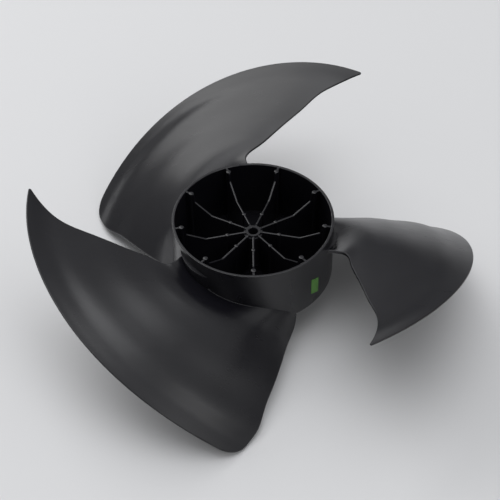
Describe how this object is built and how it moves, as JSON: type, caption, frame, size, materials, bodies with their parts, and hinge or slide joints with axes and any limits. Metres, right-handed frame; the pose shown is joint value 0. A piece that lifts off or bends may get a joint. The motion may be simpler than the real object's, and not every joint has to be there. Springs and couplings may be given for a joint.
{
  "type": "axial fan impeller",
  "caption": "Moulded axial fan impeller: a ribbed cup hub with a centre shaft boss, and wide swept blades that curve forward at their tips.",
  "frame": {"origin": "centre of the shaft bore's mouth, on top of the centre boss inside the open hub", "axes": "+Z along the shaft bore, out of the hub's open side; the fan turns about Z, and +X is a quarter turn clockwise, seen from +Z, of the middle of a blade root's leading edge"},
  "size_m": [0.4585, 0.4515, 0.1505],
  "materials": {
    "fan_plastic": "satin black moulded plastic with a fine grain and light dust",
    "clip_steel": "blackened spring steel",
    "mark_paint": "flat green marking tape"
  },
  "bodies": {
    "root": {"impeller": "fan_plastic", "balance_clip": "clip_steel", "green_mark": "mark_paint"}
  },
  "joints": []
}
